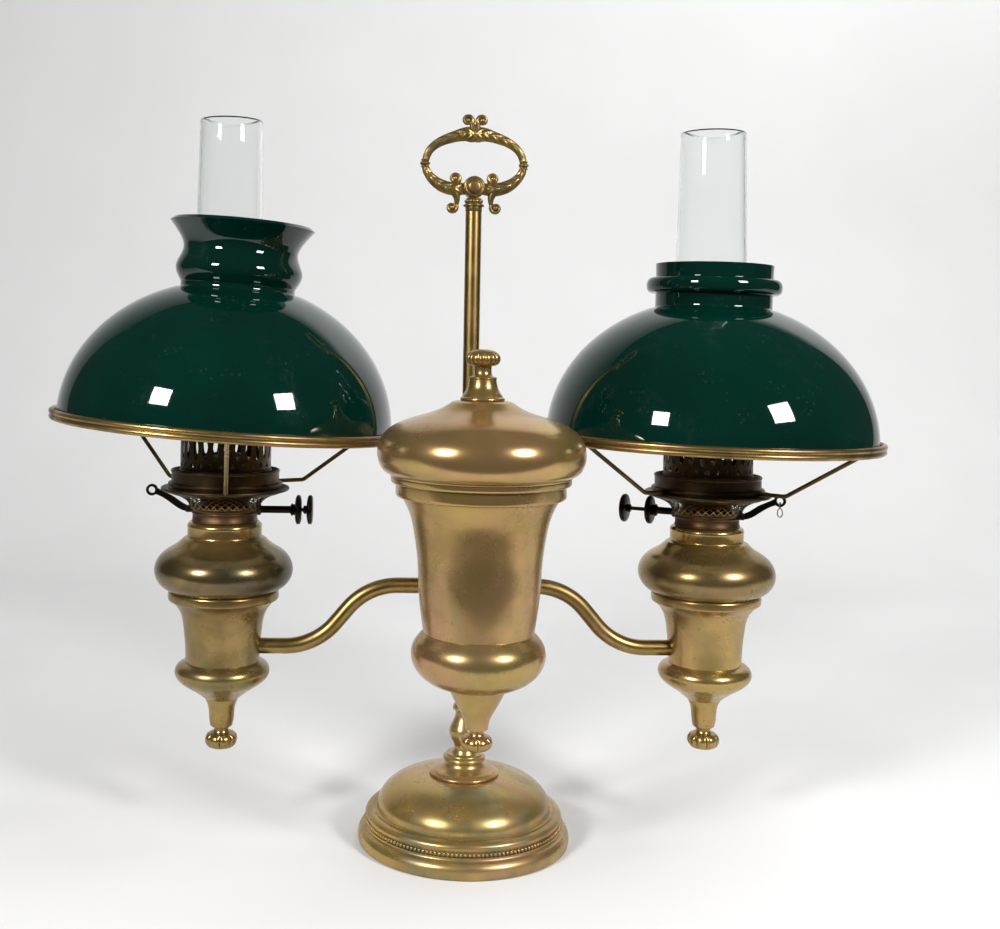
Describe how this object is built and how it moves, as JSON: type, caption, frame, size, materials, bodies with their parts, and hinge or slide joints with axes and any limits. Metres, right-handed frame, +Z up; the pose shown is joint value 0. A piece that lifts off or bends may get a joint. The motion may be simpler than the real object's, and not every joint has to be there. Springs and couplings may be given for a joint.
{
  "type": "student lamp",
  "caption": "Double oil student lamp: urn tank on a handled post over a round weighted base, two S-bent arms with burners, dome glass shades and clear chimneys.",
  "frame": {"origin": "centre of the round base on the surface the lamp stands on, under the post's axis", "axes": "+Z up along the post, +X towards the right-hand burner, -Y towards the tank, which is the front"},
  "size_m": [0.6402, 0.2997, 0.562],
  "materials": {
    "base_brass": "aged satin brass with green-dark patina",
    "post_brass": "aged satin brass",
    "handle_brass": "aged cast brass, dark in its recesses",
    "tank_brass": "aged satin brass with pink and green-blue tarnish",
    "left_fount_brass": "aged satin brass with dark blotches",
    "right_fount_brass": "aged satin brass",
    "burner_brass": "dark brown oxidised brass",
    "dark_brass": "near black oxidised brass",
    "ring_brass": "aged brass with dark patina",
    "link_wire": "dull wire",
    "steel": "plain",
    "tinplate": "dull tinned sheet",
    "base_weight": "rough cast",
    "felt": "dark green felt",
    "wick": "woven cotton, charred at the top",
    "shade_glass": "green over white cased glass, glossy",
    "chimney_glass": "clear"
  },
  "bodies": {
    "base": {"base_shell": "base_brass", "base_weight": "base_weight", "base_felt": "felt", "base_beading": "base_brass", "base_nut": "steel", "base_collar": "base_brass", "stem": "base_brass", "post": "post_brass", "handle": "handle_brass", "handle_ferrule": "post_brass", "handle_boss": "handle_brass"},
    "collar": {"stop_collar": "post_brass"},
    "screw": {"clamp_screw": "post_brass"},
    "carriage": {"yoke": "post_brass", "upper_guide": "post_brass", "left_arm": "post_brass", "right_arm": "post_brass", "tank_body": "tank_brass", "tank_bowl": "tank_brass", "tank_drip_knob": "tank_brass", "left_fount_body": "left_fount_brass", "left_fount_bowl": "left_fount_brass", "left_drip_knob": "left_fount_brass", "left_burner_base": "burner_brass", "left_shade_plate": "burner_brass", "left_gallery": "burner_brass", "left_wick_cone": "burner_brass", "left_wick_tubes": "burner_brass", "left_shade_ring": "ring_brass", "right_fount_body": "right_fount_brass", "right_fount_bowl": "right_fount_brass", "right_drip_knob": "right_fount_brass", "right_burner_base": "burner_brass", "right_shade_plate": "burner_brass", "right_gallery": "burner_brass", "right_wick_cone": "burner_brass", "right_wick_tubes": "burner_brass", "right_shade_ring": "ring_brass"},
    "lid": {"tank_lid": "tank_brass", "lid_finial": "tank_brass", "oil_bottle": "tinplate"},
    "valve": {"bottle_valve": "tinplate"},
    "left_shade": {"left_shade": "shade_glass"},
    "left_chimney": {"left_chimney": "chimney_glass"},
    "left_winder_rod": {"left_winder_rod": "dark_brass"},
    "left_winder_sleeve": {"left_winder_sleeve": "dark_brass"},
    "left_rod_wick": {"left_rod_wick": "wick"},
    "left_sleeve_wick": {"left_sleeve_wick": "wick"},
    "left_lever": {"left_extinguisher_lever": "dark_brass"},
    "left_extinguisher": {"left_extinguisher": "burner_brass"},
    "right_shade": {"right_shade": "shade_glass"},
    "right_chimney": {"right_chimney": "chimney_glass"},
    "right_winder_rod": {"right_winder_rod": "dark_brass"},
    "right_winder_sleeve": {"right_winder_sleeve": "dark_brass"},
    "right_rod_wick": {"right_rod_wick": "wick"},
    "right_sleeve_wick": {"right_sleeve_wick": "wick"},
    "right_lever": {"right_extinguisher_lever": "dark_brass"},
    "right_extinguisher": {"right_extinguisher": "burner_brass"},
    "right_link": {"right_chain_link": "link_wire"}
  },
  "joints": [
    {"name": "height_slide", "type": "slide", "parent": "base", "child": "collar", "axis": [0, 0, 1], "range_m": [-0.04, 0.13]},
    {"name": "lamp_swivel", "type": "hinge", "parent": "collar", "child": "carriage", "pos_m": [0, 0, 0.1958], "axis": [0, 0, 1], "range_deg": [-180, 180]},
    {"name": "clamp_screw_turn", "type": "hinge", "parent": "collar", "child": "screw", "pos_m": [0, 0.02, 0.1593], "axis": [0, 1, 0], "range_deg": [0, 540]},
    {"name": "lid_lift", "type": "slide", "parent": "carriage", "child": "lid", "axis": [0, 0, 1], "range_m": [0, 0.13]},
    {"name": "valve_drop", "type": "slide", "parent": "lid", "child": "valve", "axis": [0, 0, 1], "range_m": [-0.0038, 0]},
    {"name": "left_shade_lift", "type": "slide", "parent": "carriage", "child": "left_shade", "axis": [0, 0, 1], "range_m": [0, 0.25]},
    {"name": "left_chimney_lift", "type": "slide", "parent": "carriage", "child": "left_chimney", "axis": [0, 0, 1], "range_m": [0, 0.12]},
    {"name": "left_rod_turn", "type": "hinge", "parent": "carriage", "child": "left_winder_rod", "pos_m": [-0.188, 0, 0.2536], "axis": [1, 0, 0], "range_deg": [-140, 46]},
    {"name": "left_sleeve_turn", "type": "hinge", "parent": "carriage", "child": "left_winder_sleeve", "pos_m": [-0.188, 0, 0.2536], "axis": [1, 0, 0], "range_deg": [-46, 140]},
    {"name": "left_rod_wick_slide", "type": "slide", "parent": "carriage", "child": "left_rod_wick", "axis": [0, 0, 1], "range_m": [-0.0117, 0.0038]},
    {"name": "left_sleeve_wick_slide", "type": "slide", "parent": "carriage", "child": "left_sleeve_wick", "axis": [0, 0, 1], "range_m": [-0.0117, 0.0038]},
    {"name": "left_lever_tilt", "type": "hinge", "parent": "carriage", "child": "left_lever", "pos_m": [-0.2155, 0, 0.2537], "axis": [0, -1, 0], "range_deg": [0, 22]},
    {"name": "left_extinguisher_slide", "type": "slide", "parent": "carriage", "child": "left_extinguisher", "axis": [0, 0, 1], "range_m": [0, 0.00468]},
    {"name": "right_shade_lift", "type": "slide", "parent": "carriage", "child": "right_shade", "axis": [0, 0, 1], "range_m": [0, 0.25]},
    {"name": "right_chimney_lift", "type": "slide", "parent": "carriage", "child": "right_chimney", "axis": [0, 0, 1], "range_m": [0, 0.12]},
    {"name": "right_rod_turn", "type": "hinge", "parent": "carriage", "child": "right_winder_rod", "pos_m": [0.188, 0, 0.2536], "axis": [-0.866, 0.5, 0], "range_deg": [-140, 46]},
    {"name": "right_sleeve_turn", "type": "hinge", "parent": "carriage", "child": "right_winder_sleeve", "pos_m": [0.188, 0, 0.2536], "axis": [-0.866, 0.5, 0], "range_deg": [-46, 140]},
    {"name": "right_rod_wick_slide", "type": "slide", "parent": "carriage", "child": "right_rod_wick", "axis": [0, 0, 1], "range_m": [-0.0117, 0.0038]},
    {"name": "right_sleeve_wick_slide", "type": "slide", "parent": "carriage", "child": "right_sleeve_wick", "axis": [0, 0, 1], "range_m": [-0.0117, 0.0038]},
    {"name": "right_lever_tilt", "type": "hinge", "parent": "carriage", "child": "right_lever", "pos_m": [0.21182, -0.01375, 0.2537], "axis": [0.5, 0.866, 0], "range_deg": [0, 22]},
    {"name": "right_extinguisher_slide", "type": "slide", "parent": "carriage", "child": "right_extinguisher", "axis": [0, 0, 1], "range_m": [0, 0.00468]},
    {"name": "right_link_swing", "type": "hinge", "parent": "right_lever", "child": "right_link", "pos_m": [0.2365, -0.028, 0.2678], "axis": [-0.5, -0.866, 0], "range_deg": [-18, 50]}
  ],
  "couplings": [
    {"joint": "valve_drop", "follows": "lid_lift", "ratio": -0.029231},
    {"joint": "left_rod_turn", "follows": "left_rod_wick_slide", "rad_per_m": 208.33},
    {"joint": "left_sleeve_turn", "follows": "left_sleeve_wick_slide", "rad_per_m": -208.33},
    {"joint": "left_lever_tilt", "follows": "left_extinguisher_slide", "rad_per_m": 82},
    {"joint": "right_rod_turn", "follows": "right_rod_wick_slide", "rad_per_m": 208.33},
    {"joint": "right_sleeve_turn", "follows": "right_sleeve_wick_slide", "rad_per_m": -208.33},
    {"joint": "right_lever_tilt", "follows": "right_extinguisher_slide", "rad_per_m": 82}
  ]
}
